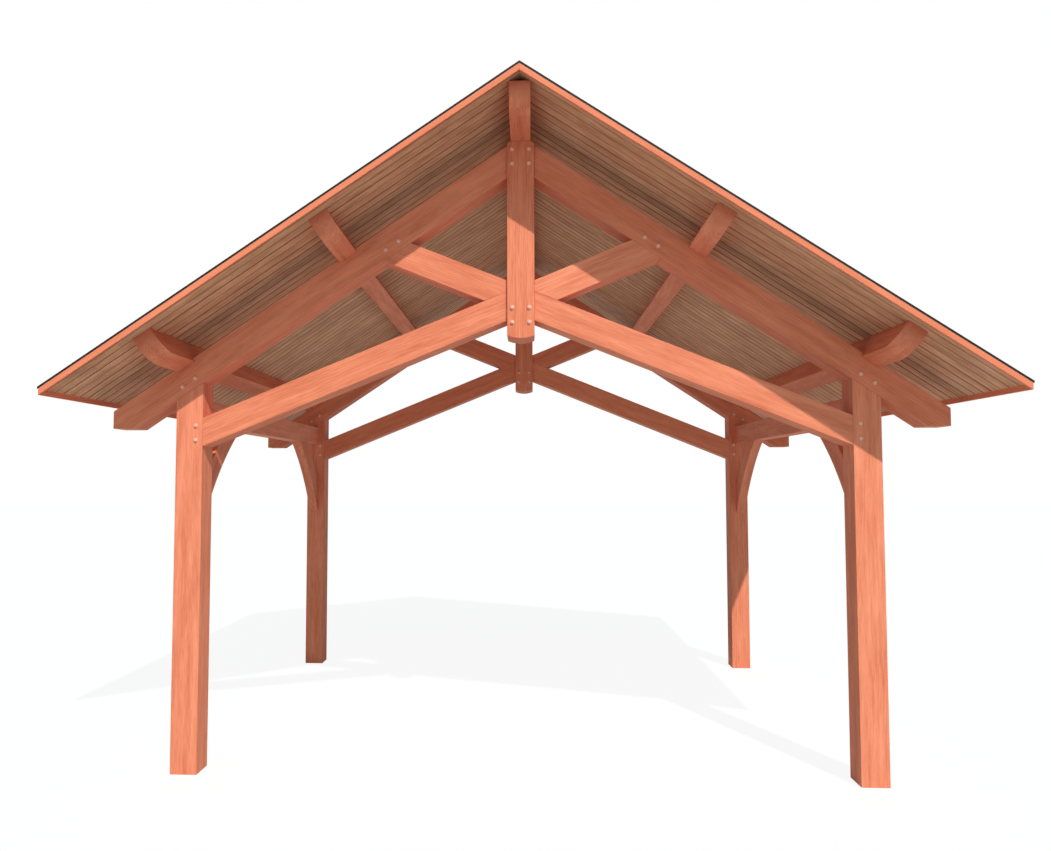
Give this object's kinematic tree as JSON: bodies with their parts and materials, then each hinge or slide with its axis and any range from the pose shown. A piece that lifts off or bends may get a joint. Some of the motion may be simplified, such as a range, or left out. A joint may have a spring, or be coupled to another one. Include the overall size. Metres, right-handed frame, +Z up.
{
  "type": "timber pavilion",
  "caption": "Open timber pavilion: square posts carry scissor trusses with king posts, rounded purlins and a boarded gable roof with dark shingles; shelter to stand or sit under.",
  "frame": {"origin": "on the ground, midway between the four post feet", "axes": "+X across the gable to the right seen from the front, +Y from the front truss to the rear truss, +Z up"},
  "size_m": [6.146, 4.9268, 4.679],
  "materials": {
    "redwood_timber": "planed and stained",
    "deck_board": "planed and stained",
    "edge_trim": "planed and stained",
    "asphalt_shingle": "mineral granules"
  },
  "bodies": {
    "root": {"front_king_post": "redwood_timber", "front_left_knee_brace": "redwood_timber", "front_left_lower_chord": "redwood_timber", "front_left_post": "redwood_timber", "front_left_rafter": "redwood_timber", "front_left_rake_trim": "edge_trim", "front_left_strut": "redwood_timber", "front_right_knee_brace": "redwood_timber", "front_right_lower_chord": "redwood_timber", "front_right_post": "redwood_timber", "front_right_rafter": "redwood_timber", "front_right_rake_trim": "edge_trim", "front_right_strut": "redwood_timber", "left_eave_purlin": "redwood_timber", "left_eave_trim": "edge_trim", "left_girt": "redwood_timber", "left_mid_purlin": "redwood_timber", "left_roof_deck": "deck_board", "left_roofing": "asphalt_shingle", "rear_king_post": "redwood_timber", "rear_left_knee_brace": "redwood_timber", "rear_left_lower_chord": "redwood_timber", "rear_left_post": "redwood_timber", "rear_left_rafter": "redwood_timber", "rear_left_rake_trim": "edge_trim", "rear_left_strut": "redwood_timber", "rear_right_knee_brace": "redwood_timber", "rear_right_lower_chord": "redwood_timber", "rear_right_post": "redwood_timber", "rear_right_rafter": "redwood_timber", "rear_right_rake_trim": "edge_trim", "rear_right_strut": "redwood_timber", "ridge_beam": "redwood_timber", "right_eave_purlin": "redwood_timber", "right_eave_trim": "edge_trim", "right_girt": "redwood_timber", "right_mid_purlin": "redwood_timber", "right_roof_deck": "deck_board", "right_roofing": "asphalt_shingle"}
  },
  "joints": []
}
